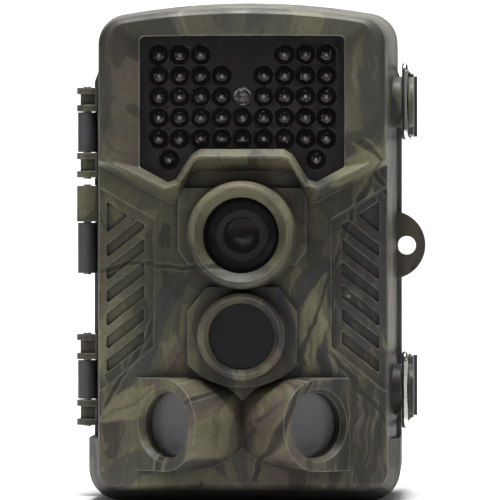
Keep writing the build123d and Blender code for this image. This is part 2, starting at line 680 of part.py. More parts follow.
with BuildPart() as usb_socket:
    block((6.2, 14.0), (-19.3, -16.0), (BAY_Z[1] + 1.4, BAY_Z[1] + 10.4))
    block((6.8, 13.4), (-18.8, -16.6), (BAY_Z[1], BAY_Z[1] + 9.4), Mode.SUBTRACT)
    block((8.2, 12.0), (-18.1, -17.3), (BAY_Z[1] + 2.0, BAY_Z[1] + 10.0))
finish(usb_socket, "usb_socket")

with BuildPart() as video_socket:
    block((16.8, 22.4), (-19.9, -16.0), (BAY_Z[1] + 1.4, BAY_Z[1] + 14.4))
    upright(19.6, -17.5, (BAY_Z[1], BAY_Z[1] + 13.4), 1.45, Mode.SUBTRACT)
finish(video_socket, "video_socket")

# ---------------------------------------------------------------- rear shell
BACK_WALL_Y = 19.0  # back face between the tree rails
RAIL_X = (24.0, 30.0)  # tree rails, each side
RAIL_Z = (40.0, 100.0)
STRAP = (32.0, 4.4)  # strap slot, tall and deep
LEDGE = 5.4  # width of the rim that carries the seal
LEVER_PIN = (43.8, -1.0)
LEVER_PIN_RADIUS = 0.8
LEVER_HALF = 8.4  # half height of a latch lever

with BuildPart() as rear_shell:
    extrude(rear_outline(PART_Y), amount=-(BACK_WALL_Y - PART_Y))
    fillet(rear_shell.faces().sort_by(Axis.Y)[-1].edges(), 5.0)
    extrude(rear_outline(PART_Y + 3.4, 2.4), amount=-(BACK_WALL_Y - PART_Y - 3.4 - 2.4), mode=Mode.SUBTRACT)
    extrude(rear_outline(PART_Y - 1, LEDGE), amount=-8.0, mode=Mode.SUBTRACT)
    # channel for the seal
    with BuildSketch(facing(PART_Y)):
        add(rear_outline(PART_Y, 2.6))
        add(rear_outline(PART_Y, 4.4), mode=Mode.SUBTRACT)
    extrude(amount=-1.8, mode=Mode.SUBTRACT)
    # thick seat for the tripod thread
    upright(0, 0, (0.0, 11.0), 8.0)
    upright(0, 0, (-1.0, 9.6), 4.6, Mode.SUBTRACT)
    # hinge barrels
    for low, high in BARRELS:
        upright(HINGE_X, HINGE_Y, (low, high), BARREL_RADIUS)
        block((HINGE_X, -41.4), (HINGE_Y, HINGE_Y + BARREL_RADIUS), (low, high))
        upright(HINGE_X, HINGE_Y, (low - 1, high + 1), PIN_RADIUS, Mode.SUBTRACT)
    # room for the front shell's knuckles
    for low, high in KNUCKLES:
        upright(HINGE_X, HINGE_Y, (low - 0.2, high + 0.2), 3.15, Mode.SUBTRACT)
    # latch bosses
    for height in LATCH_HEIGHTS:
        x, y = LEVER_PIN
        upright(x, y, (height - 6.0, height + 6.0), 1.5)
        block((41.0, x), (y - 1.5, y + 1.5), (height - 6.0, height + 6.0))
        upright(x, y, (height - 9.0, height + 9.0), LEVER_PIN_RADIUS, Mode.SUBTRACT)
    tab_plate(PART_Y, TAB)
    # relief in the flank behind the padlock hole, so that a shackle passes
    with Locations(Plane(origin=(EYE_HOLE[0] + 3.4, PART_Y + TAB, EYE_HOLE[1]), z_dir=(0, 1, 0))):
        Cylinder(6.0, 40.0, align=(Align.CENTER, Align.CENTER, Align.MIN), mode=Mode.SUBTRACT)
    with Locations(Plane(origin=(EYE_HOLE[0], PART_Y, EYE_HOLE[1]), z_dir=(0, 1, 0))):
        Cylinder(EYE_HOLE[2], 2 * TAB + 2, mode=Mode.SUBTRACT)
finish(rear_shell, "rear_shell")

with BuildPart() as strap_rails:
    for side in (-1, 1):
        x = sorted((side * RAIL_X[0], side * RAIL_X[1]))
        block(x, (BACK_WALL_Y, BACK_Y), RAIL_Z)
        block(
            (x[0] - 1, x[1] + 1), (BACK_WALL_Y - 1.0, BACK_WALL_Y + 0.2 + STRAP[1]),
            (54.0, 54.0 + STRAP[0]), Mode.SUBTRACT,
        )
        for z in range(44, 98, 4):
            if z < 52 or z > 88:
                block((x[0] - 1, x[1] + 1), (BACK_Y - 1.4, BACK_Y + 1), (z, z + 1.6), Mode.SUBTRACT)
finish(strap_rails, "strap_rails")

with BuildPart() as seal:
    with BuildSketch(facing(PART_Y)):
        add(rear_outline(PART_Y, 2.65))
        add(rear_outline(PART_Y, 4.35), mode=Mode.SUBTRACT)
    extrude(amount=-1.8)
finish(seal, "seal")

with BuildPart() as hinge_pins:
    for low, high in PINS:
        upright(HINGE_X, HINGE_Y, (low, high), PIN_RADIUS)
finish(hinge_pins, "hinge_pins")

with BuildPart() as tripod_nut:
    upright(0, 0, (0.0, 9.6), 4.6)
    upright(0, 0, (-1.0, 8.6), 2.6, Mode.SUBTRACT)
finish(tripod_nut, "tripod_nut")

# ---------------------------------------------------------------- battery tray: two rows of four cells
CELL_RADIUS = 7.15
CELL_LENGTH = 50.0
CELL_PITCH = 15.4
CELL_Y = 6.4
ROW_FLOORS = (14.6, 72.0)  # lower ends of the cells
CELL_SPOTS = [(column - 1.5) * CELL_PITCH for column in range(4)]

with BuildPart() as battery_tray:
    block((-33.0, 33.0), (-2.0, 14.6), (12.0, 126.4))
    for floor in ROW_FLOORS:
        block((-31.6, 31.6), (-3, CELL_Y), (floor - 0.6, floor + CELL_LENGTH + 3.6), Mode.SUBTRACT)
        for x in CELL_SPOTS:
            upright(x, CELL_Y, (floor - 0.6, floor + CELL_LENGTH + 3.6), CELL_RADIUS + 0.25, Mode.SUBTRACT)
finish(battery_tray, "battery_tray")


def cell(x, floor, upside_down):
    """A dry cell: can, crimped shoulder and a raised cap at one end."""
    low = floor + (3.0 if not upside_down else 0.0)
    foot = low + (1.0 if upside_down else 0.0)
    upright(x, CELL_Y, (foot, foot + CELL_LENGTH - 1.0), CELL_RADIUS)
    cap = (low, low + 1.2) if upside_down else (low + CELL_LENGTH - 1.2, low + CELL_LENGTH)
    upright(x, CELL_Y, cap, 2.7)


with BuildPart() as dry_cells:
    for floor in ROW_FLOORS:
        for index, x in enumerate(CELL_SPOTS):
            cell(x, floor, index % 2 == 1)
finish(dry_cells, "dry_cells")

with BuildPart() as cell_springs:
    for floor in ROW_FLOORS:
        for index, x in enumerate(CELL_SPOTS):
            ends = (floor, 1) if index % 2 == 0 else (floor + CELL_LENGTH + 3.0, -1)
            for turn in range(4):
                with Locations((x, CELL_Y, ends[0] + ends[1] * (0.25 + turn * 0.75))):
                    Torus(4.4 - 0.5 * turn, 0.38)
            with Locations((x, CELL_Y, ends[0] + ends[1] * 1.4)):
                Cylinder(0.5, 2.2)
                Box(8.4, 0.5, 0.6)
finish(cell_springs, "cell_springs")

with BuildPart() as contact_plates:
    for floor in ROW_FLOORS:
        for index, x in enumerate(CELL_SPOTS):
            for z, here in ((floor - 0.5, index % 2 == 1), (floor + CELL_LENGTH + 3.05, index % 2 == 0)):
                if here:
                    block((x - 4.5, x + 4.5), (CELL_Y - 4.5, CELL_Y + 4.5), (z, z + 0.45))
finish(contact_plates, "contact_plates")

TRAY_SCREWS = [(0.0, 69.6), (-15.4, 69.6), (15.4, 69.6)]
with BuildPart() as tray_screws:
    for x, z in TRAY_SCREWS:
        with Locations(Plane(origin=(x, -2.0, z), z_dir=(0, -1, 0))):
            Cylinder(1.9, 0.9, align=(Align.CENTER, Align.CENTER, Align.MIN))
            Box(2.4, 0.6, 1.8, mode=Mode.SUBTRACT)
            Box(0.6, 2.4, 1.8, mode=Mode.SUBTRACT)
finish(tray_screws, "tray_screws")

# ---------------------------------------------------------------- latches
BAIL_PIVOT = (43.8, 9.0)
BAIL_WIRE = 0.8
BAIL_HALF = 9.6  # half height of the wire loop, to the wire's middle
BAIL_FRONT = (43.1, LUG_Y - (LUG_RADIUS - 1.5) - BAIL_WIRE - 0.05)
LATCH_NAMES = ("upper", "lower")

for label, height in zip(LATCH_NAMES, LATCH_HEIGHTS):
    px, py = LEVER_PIN
    with BuildPart() as lever:
        upright(px, py, (height - LEVER_HALF, height + LEVER_HALF), 1.5)
        block((px - 1.3, px + 1.5), (py, 15.0), (height - LEVER_HALF, height + LEVER_HALF))
        block((px, px + 2.4), (13.0, 16.5), (height - LEVER_HALF, height + LEVER_HALF))
        fillet(lever.edges().filter_by(Axis.Z).filter_by(lambda e: e.center().Y > 14), 0.6)
        block((px - 3, px + 3), (py - 3, py + 2.0), (height - 6.3, height + 6.3), Mode.SUBTRACT)
        block((px - 3, px + 3), (7.4, 10.6), (height - 6.3, height + 6.3), Mode.SUBTRACT)
        upright(px, py, (height - 9, height + 9), LEVER_PIN_RADIUS + PIN_CLEARANCE, Mode.SUBTRACT)
        bx, by = BAIL_PIVOT
        upright(bx, by, (height - 9, height + 9), BAIL_WIRE + PIN_CLEARANCE, Mode.SUBTRACT)
    finish(lever, label + "_lever")

    with BuildPart() as bail:
        bx, by = BAIL_PIVOT
        fx, fy = BAIL_FRONT
        top = height + BAIL_HALF
        low = height - BAIL_HALF
        with BuildLine() as route:
            FilletPolyline(
                (bx, by, height + 6.8), (bx, by, top), (fx, fy, top),
                (fx, fy, low), (bx, by, low), (bx, by, height - 6.8),
                radius=(1.2, 1.8, 1.8, 1.2),
            )
        with BuildSketch(Plane(origin=(bx, by, height + 6.8), z_dir=(0, 0, 1))):
            Circle(BAIL_WIRE)
        sweep(path=route.line)
    finish(bail, label + "_bail")

with BuildPart() as lever_pins:
    for height in LATCH_HEIGHTS:
        upright(LEVER_PIN[0], LEVER_PIN[1], (height - LEVER_HALF, height + LEVER_HALF), LEVER_PIN_RADIUS)
finish(lever_pins, "lever_pins")
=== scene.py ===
import json
import math

import bmesh
import bpy
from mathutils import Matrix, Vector


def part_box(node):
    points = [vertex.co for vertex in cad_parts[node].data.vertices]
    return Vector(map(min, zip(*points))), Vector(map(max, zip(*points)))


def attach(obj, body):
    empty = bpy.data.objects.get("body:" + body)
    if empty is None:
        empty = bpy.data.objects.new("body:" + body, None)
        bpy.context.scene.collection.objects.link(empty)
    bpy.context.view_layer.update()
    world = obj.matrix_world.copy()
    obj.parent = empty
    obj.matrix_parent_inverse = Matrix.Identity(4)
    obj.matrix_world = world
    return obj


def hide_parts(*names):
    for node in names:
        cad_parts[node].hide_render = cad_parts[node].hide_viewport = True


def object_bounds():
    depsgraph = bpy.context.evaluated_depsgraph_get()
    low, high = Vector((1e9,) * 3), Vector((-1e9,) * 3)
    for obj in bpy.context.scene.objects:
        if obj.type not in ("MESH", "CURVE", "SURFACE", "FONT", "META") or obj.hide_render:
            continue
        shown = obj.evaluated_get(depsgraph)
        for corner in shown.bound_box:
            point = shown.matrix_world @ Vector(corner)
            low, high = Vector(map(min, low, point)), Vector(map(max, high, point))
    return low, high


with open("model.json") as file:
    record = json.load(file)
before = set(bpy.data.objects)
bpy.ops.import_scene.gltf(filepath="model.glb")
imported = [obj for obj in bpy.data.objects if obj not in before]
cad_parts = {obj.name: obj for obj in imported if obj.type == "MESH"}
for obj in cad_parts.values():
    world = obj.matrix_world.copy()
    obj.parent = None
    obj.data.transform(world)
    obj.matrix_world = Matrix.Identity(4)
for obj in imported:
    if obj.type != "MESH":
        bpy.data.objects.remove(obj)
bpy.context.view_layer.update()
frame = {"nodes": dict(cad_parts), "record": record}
NODES = frame["nodes"]
MM = 0.001


# ------------------------------------------------------------------ node helpers
class Tree:
    """A material's nodes, with short calls that take numbers, colours or sockets."""

    def __init__(self, name):
        self.mat = bpy.data.materials.new(name)
        self.mat.use_nodes = True
        self.nt = self.mat.node_tree
        self.bsdf = self.nt.nodes["Principled BSDF"]
        self.coord = self.nt.nodes.new("ShaderNodeTexCoord").outputs["Object"]

    def node(self, kind, **props):
        n = self.nt.nodes.new(kind)
        for key, value in props.items():
            setattr(n, key, value)
        return n

    def put(self, socket, value):
        if isinstance(value, bpy.types.NodeSocket):
            self.nt.links.new(value, socket)
        elif isinstance(value, (tuple, list)) and len(value) == 3 and socket.type == "RGBA":
            socket.default_value = (*value, 1.0)
        else:
            socket.default_value = value

    def math(self, op, a, b=0.0, c=0.0):
        n = self.node("ShaderNodeMath", operation=op)
        for socket, value in zip(n.inputs, (a, b, c)):
            self.put(socket, value)
        return n.outputs[0]

    def add(self, a, b):
        return self.math("ADD", a, b)

    def mul(self, a, b):
        return self.math("MULTIPLY", a, b)

    def sub(self, a, b):
        return self.math("SUBTRACT", a, b)

    def step(self, value, low, high, out_low=0.0, out_high=1.0):
        n = self.node("ShaderNodeMapRange", interpolation_type="SMOOTHSTEP")
        for socket, v in zip(n.inputs, (value, low, high, out_low, out_high)):
            self.put(socket, v)
        return n.outputs[0]

    def xyz(self, vector=None):
        n = self.node("ShaderNodeSeparateXYZ")
        self.put(n.inputs[0], vector or self.coord)
        return n.outputs[0], n.outputs[1], n.outputs[2]

    def vec(self, x, y, z):
        n = self.node("ShaderNodeCombineXYZ")
        for socket, v in zip(n.inputs, (x, y, z)):
            self.put(socket, v)
        return n.outputs[0]

    def map(self, vector=None, scale=(1, 1, 1), rot=(0, 0, 0), loc=(0, 0, 0)):
        n = self.node("ShaderNodeMapping")
        self.put(n.inputs["Vector"], vector or self.coord)
        n.inputs["Scale"].default_value = scale
        n.inputs["Rotation"].default_value = rot
        n.inputs["Location"].default_value = loc
        return n.outputs[0]

    def noise(self, scale, detail=2.0, rough=0.5, twist=0.0, vector=None, colour=False):
        n = self.node("ShaderNodeTexNoise")
        self.put(n.inputs["Vector"], vector or self.coord)
        n.inputs["Scale"].default_value = scale
        n.inputs["Detail"].default_value = detail
        n.inputs["Roughness"].default_value = rough
        n.inputs["Distortion"].default_value = twist
        return n.outputs["Color" if colour else "Fac"]

    def cells(self, scale, vector, jitter):
        n = self.node("ShaderNodeTexVoronoi", feature="F1")
        self.put(n.inputs["Vector"], vector)
        n.inputs["Scale"].default_value = scale
        n.inputs["Randomness"].default_value = jitter
        return n.outputs["Distance"]

    def mix(self, share, a, b):
        n = self.node("ShaderNodeMix", data_type="RGBA", blend_type="MIX")
        self.put(n.inputs["Factor"], share)
        self.put(n.inputs["A"], a)
        self.put(n.inputs["B"], b)
        return n.outputs["Result"]

    def bump(self, height, distance, strength, normal=None):
        n = self.node("ShaderNodeBump")
        n.inputs["Distance"].default_value = distance
        n.inputs["Strength"].default_value = strength
        self.put(n.inputs["Height"], height)
        if normal is not None:
            self.put(n.inputs["Normal"], normal)
        return n.outputs[0]

    def rounded(self, radius):
        """The surface normal with every edge rounded to a radius."""
        n = self.node("ShaderNodeBevel", samples=6)
        n.inputs["Radius"].default_value = radius
        return n.outputs[0]

    def edge(self, rounded_normal, low=0.02, high=0.30):
        """1 at an edge and 0 away from it, from how far the rounded normal leans."""
        geo = self.node("ShaderNodeNewGeometry")
        n = self.node("ShaderNodeVectorMath", operation="DOT_PRODUCT")
        self.put(n.inputs[0], rounded_normal)
        self.put(n.inputs[1], geo.outputs["True Normal"])
        return self.step(self.sub(1.0, n.outputs["Value"]), low, high)

    def crevice(self, distance, low=0.45, high=0.95):
        """1 in the open and 0 deep in a corner or groove."""
        n = self.node("ShaderNodeAmbientOcclusion", samples=6)
        n.inputs["Distance"].default_value = distance
        return self.step(n.outputs["AO"], low, high)

    def out(self, colour, rough, normal=None, **fixed):
        """Wire the material's shader up and return the material."""
        self.put(self.bsdf.inputs["Base Color"], colour)
        self.put(self.bsdf.inputs["Roughness"], rough)
        if normal is not None:
            self.put(self.bsdf.inputs["Normal"], normal)
        for key, value in fixed.items():
            self.put(self.bsdf.inputs[key.replace("_", " ")], value)
        return self.mat


def srgb(r, g, b):
    """A screen colour, 0 to 255, as linear numbers."""
    return tuple(((c / 255 + 0.055) / 1.055) ** 2.4 if c > 10 else c / 255 / 12.92 for c in (r, g, b))


# ------------------------------------------------------------------ camouflage film
OLIVE = srgb(87, 85, 66)
OLIVE_PALE = srgb(102, 101, 77)
KHAKI = srgb(80, 72, 61)
CHARCOAL = srgb(44, 44, 46)
DARK = srgb(31, 31, 27)
MOSS = srgb(61, 60, 48)
# paler edge colour: wear, and also a painted highlight on lit edges
WORN_AND_HIGHLIGHT = srgb(150, 149, 140)
# painted shade: the colour the film is darkened towards deep in corners, creases and grooves
PAINTED_CREVICE_SHADE = srgb(26, 27, 24)

# Leaves: middle X and Z, half length and half width in mm, lean in degrees, shade, strength.
LEAVES = (
    (10.5, 46.0, 17.0, 5.0, -72, "charcoal", 0.9),
    (19.0, 59.0, 9.5, 4.0, 62, "charcoal", 0.8),
    (-26.0, 44.0, 22.0, 4.2, 64, "charcoal", 0.75),
    (-13.5, 19.0, 15.0, 4.8, -52, "charcoal", 0.85),
    (-31.0, 8.5, 15.0, 4.0, 38, "charcoal", 0.6),
    (14.0, 28.0, 13.0, 3.6, 25, "charcoal", 0.75),
    (2.0, 13.0, 9.0, 5.2, 80, "charcoal", 0.7),
    (32.0, 112.0, 20.0, 4.2, 82, "charcoal", 0.7),
    (38.0, 94.0, 13.0, 4.4, 75, "charcoal", 0.75),
    (-33.0, 112.0, 17.0, 4.6, -80, "charcoal", 0.65),
    (4.0, 127.5, 16.0, 3.4, 12, "charcoal", 0.6),
    (27.0, 77.0, 16.0, 3.8, -38, "charcoal", 0.7),
    (34.0, 60.0, 13.0, 4.2, -60, "charcoal", 0.6),
    (-6.0, 61.0, 13.0, 4.0, 8, "charcoal", 0.6),
    (-19.0, 36.0, 14.0, 3.4, 55, "khaki", 0.9),
    (6.0, 19.0, 13.0, 3.4, 68, "khaki", 0.85),
    (20.0, 49.0, 15.0, 3.6, 78, "olive", 0.9),
    (-35.0, 70.0, 15.0, 4.2, 48, "khaki", 0.7),
    (31.0, 28.0, 14.0, 4.8, 70, "khaki", 0.8),
    (-22.0, 92.5, 13.0, 3.6, -34, "khaki", 0.7),
    (31.0, 90.0, 13.0, 4.0, 30, "olive", 0.8),
    (-29.0, 27.0, 13.0, 4.0, 30, "olive", 0.85),
    (-2.0, 86.0, 17.0, 3.4, 6, "khaki", 0.6),
)
# Twigs: an end, the other end and the half width in mm.
TWIGS = (
    (-40.0, 61.0, 2.0, 64.5, 0.45), (12.0, 27.0, 35.0, 90.0, 0.42), (27.0, 96.0, 41.0, 82.0, 0.5),
    (-24.0, 8.0, -4.0, 35.0, 0.5), (3.0, 6.0, 11.0, 33.0, 0.5), (-37.0, 24.0, -24.0, 52.0, 0.45),
    (22.0, 40.0, 40.0, 21.0, 0.45), (-30.0, 126.0, -12.0, 131.0, 0.5), (6.0, 131.0, 24.0, 124.0, 0.45),
)
FACE_DEPTH = 0.036  # the flat front face lies this far in front of the origin
FLANK_LEAN = 28.0  # how quickly the print turns from the face to the flanks, per metre of X
WARP = 0.011  # how far the noise moves the print's outlines, in metres


def axes(t, x, z, origin, cosine, sine):
    """Metres along and across a line through an origin given in mm."""
    dx = t.sub(x, origin[0] * MM)
    dz = t.sub(z, origin[1] * MM)
    along = t.math("MULTIPLY_ADD", dx, cosine, t.mul(dz, sine))
    across = t.math("MULTIPLY_ADD", dx, -sine, t.mul(dz, cosine))
    return along, across


def camouflage(t):
    """Colour of the printed film: soft leaves and twigs over an olive ground, with bark in places."""
    x, y, z = t.xyz()
    # the film wraps back round the flanks and over the top
    back = t.add(y, FACE_DEPTH)
    lean = t.math("MINIMUM", t.math("MAXIMUM", t.mul(x, FLANK_LEAN), -1.0), 1.0)
    rise = t.step(z, 0.112, 0.132)
    fall = t.step(z, 0.006, 0.020, -1.0, 0.0)
    px = t.add(x, t.mul(lean, back))
    pz = t.add(t.add(z, t.mul(rise, back)), t.mul(fall, back))
    flat = t.vec(px, 0.0, pz)
    wander = t.noise(46.0, 3.0, 0.55, vector=flat, colour=True)
    wx, wy, _ = t.xyz(wander)
    qx = t.add(px, t.mul(t.sub(wx, 0.5), WARP))
    qz = t.add(pz, t.mul(t.sub(wy, 0.5), WARP))
    warped = t.vec(qx, 0.0, qz)
    shades = {"charcoal": CHARCOAL, "khaki": KHAKI, "olive": OLIVE_PALE}

    ground = t.mix(t.step(t.noise(17.0, 2.0, vector=flat), 0.38, 0.62), OLIVE, MOSS)
    clouds = t.noise(23.0, 2.5, 0.5, 0.6, vector=t.map(flat, loc=(3.1, 0, 1.7)))
    ground = t.mix(t.step(clouds, 0.47, 0.58), ground, KHAKI)
    streak = t.noise(60.0, 4.0, 0.6, 0.4, vector=t.map(warped, rot=(0, 0.55, 0), scale=(1.0, 1.0, 0.22)))
    ground = t.mix(t.mul(t.step(streak, 0.50, 0.66), 0.55), ground, MOSS)
    slant = t.map(warped, rot=(0, -0.5, 0), scale=(1.0, 1.0, 0.45), loc=(7.7, 0, 2.2))
    broad = t.noise(31.0, 1.5, 0.4, 0.9, vector=slant)
    ground = t.mix(t.mul(t.step(broad, 0.53, 0.57), 0.85), ground, CHARCOAL)

    slant = t.map(warped, rot=(0, 0.9, 0), scale=(1.0, 1.0, 0.4), loc=(2.7, 0, 5.1))
    litter = t.noise(74.0, 2.5, 0.5, 1.4, vector=slant)
    ground = t.mix(t.step(litter, 0.575, 0.605, 0.0, 0.65), ground, DARK)
    ground = t.mix(t.step(litter, 0.395, 0.425, 0.55, 0.0), ground, OLIVE_PALE)

    for cx, cz, long, wide, lean_deg, shade, strength in LEAVES:
        a = math.radians(lean_deg)
        along, across = axes(t, qx, qz, (cx, cz), math.cos(a), math.sin(a))
        u = t.mul(along, 1 / (long * MM))
        v = t.mul(across, 1 / (wide * MM))
        reach = t.add(t.mul(u, u), t.math("ABSOLUTE", v))
        body = t.step(reach, 0.80, 1.05, strength, 0.0)
        ground = t.mix(body, ground, shades[shade])
        middle_line = t.step(t.math("ABSOLUTE", v), 0.05, 0.16, 0.45 * strength, 0.0)
        rib = t.mul(middle_line, t.step(reach, 0.6, 0.9, 1.0, 0.0))
        ground = t.mix(rib, ground, DARK if shade != "charcoal" else MOSS)

    for x0, z0, x1, z1, wide in TWIGS:
        length = math.hypot(x1 - x0, z1 - z0)
        half = wide * MM
        along, across = axes(t, qx, qz, (x0, z0), (x1 - x0) / length, (z1 - z0) / length)
        u = t.mul(along, 1 / (length * MM))
        v = t.math("ABSOLUTE", across)
        between = t.mul(t.step(u, 0.0, 0.08), t.step(u, 0.9, 1.0, 1.0, 0.0))
        body = t.mul(t.step(v, half * 0.5, half * 1.9, 0.8, 0.0), between)
        ground = t.mix(body, ground, DARK)
        off_edge = t.math("ABSOLUTE", t.sub(v, half * 2.1))
        glint = t.mul(t.step(off_edge, 0.0001, 0.0004, 0.4, 0.0), between)
        ground = t.mix(glint, ground, OLIVE_PALE)

    # bark streaks low on the right, up the left rim and faintly below the middle on the right
    bark = t.noise(150.0, 5.0, 0.65, 0.5, vector=t.map(warped, rot=(0, -0.42, 0), scale=(1.0, 1.0, 0.16)))
    low_right = t.mul(t.step(px, 0.019, 0.027), t.step(pz, 0.028, 0.046, 1.0, 0.0))
    left_rim = t.mul(t.step(px, -0.037, -0.033, 1.0, 0.0), t.step(pz, 0.085, 0.105))
    right_band = t.mul(t.step(px, 0.017, 0.022), t.step(px, 0.026, 0.031, 1.0, 0.0))
    right_mid = t.mul(right_band, t.step(pz, 0.055, 0.07, 1.0, 0.0))
    where = t.math("MAXIMUM", low_right, t.math("MAXIMUM", left_rim, t.mul(right_mid, 0.5)))
    ground = t.mix(t.mul(t.step(bark, 0.47, 0.55), t.mul(where, 0.85)), ground, DARK)
    ground = t.mix(t.mul(t.step(bark, 0.36, 0.44, 1.0, 0.0), t.mul(where, 0.5)), ground, OLIVE_PALE)

    # print grain, cloth fibre and broad shading
    grain = t.noise(900.0, 3.0, 0.7)
    shade = t.noise(11.0, 2.0, 0.5, vector=t.map(flat, loc=(0.4, 0, 9.0)))
    ground = t.mix(t.step(grain, 0.35, 0.75, 0.0, 0.30), ground, DARK)
    fibre = t.noise(520.0, 3.0, 0.7, vector=t.map(warped, rot=(0, -0.3, 0), scale=(1.0, 1.0, 0.12)))
    ground = t.mix(t.step(fibre, 0.52, 0.70, 0.0, 0.35), ground, DARK)
    ground = t.mix(t.step(fibre, 0.30, 0.44, 0.22, 0.0), ground, OLIVE_PALE)
    return t.mix(t.step(shade, 0.35, 0.7, 0.0, 0.25), ground, DARK)


# Fine patterns, in repeats per metre.
TRACES_PER_METRE = 620.0
RINGS_PER_METRE = 1250.0
PIXELS_PER_METRE = 4200.0
EYE_TILT = 1.345  # widens X so that the rings are round on the tilted side windows
RING_DROP = 0.0042  # the rings' middle lies this far below the window's


def film():
    """Printed camouflage film: painted shade in the creases, worn edges that also carry a painted highlight,
    and a fine grain.
    """
    t = Tree("camo_film")
    colour = camouflage(t)
    soft = t.rounded(0.00045)
    open_air = t.crevice(0.0016)
    edge = t.mul(t.edge(soft, 0.015, 0.20), open_air)
    # worn edges that are also a painted highlight along chamfers and rims
    rub_and_highlight = t.mul(edge, t.step(t.noise(240.0, 3.0, 0.6), 0.30, 0.62, 0.30, 0.80))
    # painted shade: the film is darker deep in corners, creases and grooves, where shade falls
    colour = t.mix(t.sub(1.0, t.crevice(0.005, 0.35, 0.95)), colour, PAINTED_CREVICE_SHADE)
    colour = t.mix(rub_and_highlight, colour, WORN_AND_HIGHLIGHT)
    fine = t.noise(2600.0, 2.0, 0.6)
    scuff = t.noise(160.0, 5.0, 0.6, vector=t.map(scale=(1, 1, 0.15)))
    height = t.add(t.mul(fine, 0.6), t.mul(t.noise(420.0, 2.0), 0.4))
    normal = t.bump(height, 0.00004, 0.6, soft)
    rough = t.add(t.step(scuff, 0.3, 0.7, 0.40, 0.52), t.mul(fine, 0.08))
    return t.out(colour, rough, normal, Specular_IOR_Level=0.25)


def moulded(name, colour, rough, grain, depth, spread=0.35, edge_radius=0.0003):
    """Moulded plastic: grain, cloudy roughness, slightly paler worn edges."""
    t = Tree(name)
    soft = t.rounded(edge_radius)
    edge = t.edge(soft)
    pale = tuple(min(1.0, c * 2.2 + 0.02) for c in colour)
    deep = tuple(c * (1 - spread) for c in colour)
    cloud = t.noise(55.0, 4.0, 0.6)
    speck = t.noise(grain, 2.0, 0.7)
    c = t.mix(t.step(cloud, 0.3, 0.7), colour, deep)
    c = t.mix(t.step(speck, 0.55, 0.75, 0.0, 0.35), c, pale)
    c = t.mix(t.mul(edge, t.step(t.noise(300.0, 3.0), 0.35, 0.65, 0.08, 0.45)), c, pale)
    r = t.step(t.add(t.mul(cloud, 0.6), t.mul(speck, 0.4)), 0.3, 0.7, rough - 0.07, rough + 0.09)
    return t.out(c, r, t.bump(speck, depth, 0.7, soft), Specular_IOR_Level=0.5)


def metal(name, colour, rough, stretch=(1, 1, 0.05), scale=900.0, tarnish=0.35):
    """Metal with drawn or turned lines, faint tarnish and fine scratches."""
    t = Tree(name)
    soft = t.rounded(0.0002)
    lines = t.noise(scale, 3.0, 0.6, vector=t.map(scale=stretch))
    cloud = t.noise(120.0, 4.0, 0.65)
    dull = tuple(c * (1 - tarnish) for c in colour)
    c = t.mix(t.step(cloud, 0.4, 0.75), colour, dull)
    c = t.mix(t.step(lines, 0.5, 0.8, 0.0, 0.35), c, dull)
    r = t.add(t.step(lines, 0.3, 0.7, rough - 0.08, rough + 0.08), t.step(cloud, 0.5, 0.8, 0.0, 0.12))
    return t.out(c, r, t.bump(lines, 0.000015, 0.5, soft), Metallic=1.0)


def glass(name, colour, ior, rough, smear, transmission=1.0):
    """Clear, smoked or, with no transmission, dark glossy pane with faint smears and dust."""
    t = Tree(name)
    cloud = t.noise(70.0, 4.0, 0.6)
    dust = t.noise(2400.0, 2.0, 0.8)
    dusty = tuple(min(1, c * 1.5 + 0.05) for c in colour)
    c = t.mix(t.step(dust, 0.68, 0.80, 0.0, 0.25), colour, dusty)
    r = t.add(t.step(cloud, 0.4, 0.7, rough, rough + smear), t.step(dust, 0.66, 0.80, 0.0, 0.25))
    return t.out(c, r, t.bump(cloud, 0.00003, 0.25), Transmission_Weight=transmission, IOR=ior)


def board(name, colour):
    """Solder resist with traces, pads and via holes."""
    t = Tree(name)
    x, _, z = t.xyz()
    vias = t.cells(420.0, t.vec(x, 0.0, z), 0.25)
    bent = t.add(x, t.mul(t.noise(90.0, 0.0), 0.012))
    lanes = t.math("ABSOLUTE", t.sub(t.math("FRACT", t.mul(bent, TRACES_PER_METRE)), 0.5))
    patch = t.step(t.noise(110.0, 1.0), 0.50, 0.53)
    copper = tuple(min(1, c * 2.1 + 0.01) for c in colour)
    c = t.mix(t.mul(t.step(lanes, 0.16, 0.22, 1.0, 0.0), patch), colour, copper)
    c = t.mix(t.step(vias, 0.10, 0.14, 1.0, 0.0), c, srgb(190, 182, 160))
    speck = t.noise(1400.0, 2.0)
    r = t.step(speck, 0.3, 0.7, 0.28, 0.42)
    height = t.add(t.mul(t.step(lanes, 0.16, 0.22, 1.0, 0.0), patch), t.mul(speck, 0.3))
    return t.out(c, r, t.bump(height, 0.00004, 0.5))


def fresnel_eye():
    """Grey translucent side window, painted paler towards the top as if lit from above, with fine moulded
    rings low in its face.
    """
    t = Tree("eye_fresnel")
    x, _, z = t.xyz()
    side = t.math("ABSOLUTE", x)
    low_eye, high_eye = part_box("right_eye_lens")
    cx, _, cz = (low_eye + high_eye) / 2
    dx = t.mul(t.sub(side, cx), EYE_TILT)
    dz = t.sub(z, cz - RING_DROP)
    r = t.math("SQRT", t.add(t.mul(dx, dx), t.mul(dz, dz)))
    ring = t.math("FRACT", t.mul(r, RINGS_PER_METRE))
    near = t.step(r, 0.0026, 0.0040, 1.0, 0.0)
    cloud = t.noise(130.0, 3.0)
    # painted light: paler towards the top and darker towards the bottom, as if lit from above
    c = t.mix(t.step(z, cz - 0.008, cz + 0.008), srgb(60, 60, 61), srgb(76, 76, 78))
    c = t.mix(t.mul(t.step(ring, 0.35, 0.65), t.mul(near, 0.90)), c, srgb(36, 36, 38))
    c = t.mix(t.step(cloud, 0.4, 0.7, 0.0, 0.2), c, srgb(66, 66, 68))
    rough = t.step(cloud, 0.3, 0.7, 0.26, 0.36)
    return t.out(c, rough, t.bump(t.mul(ring, near), 0.00006, 0.5), Specular_IOR_Level=0.45)


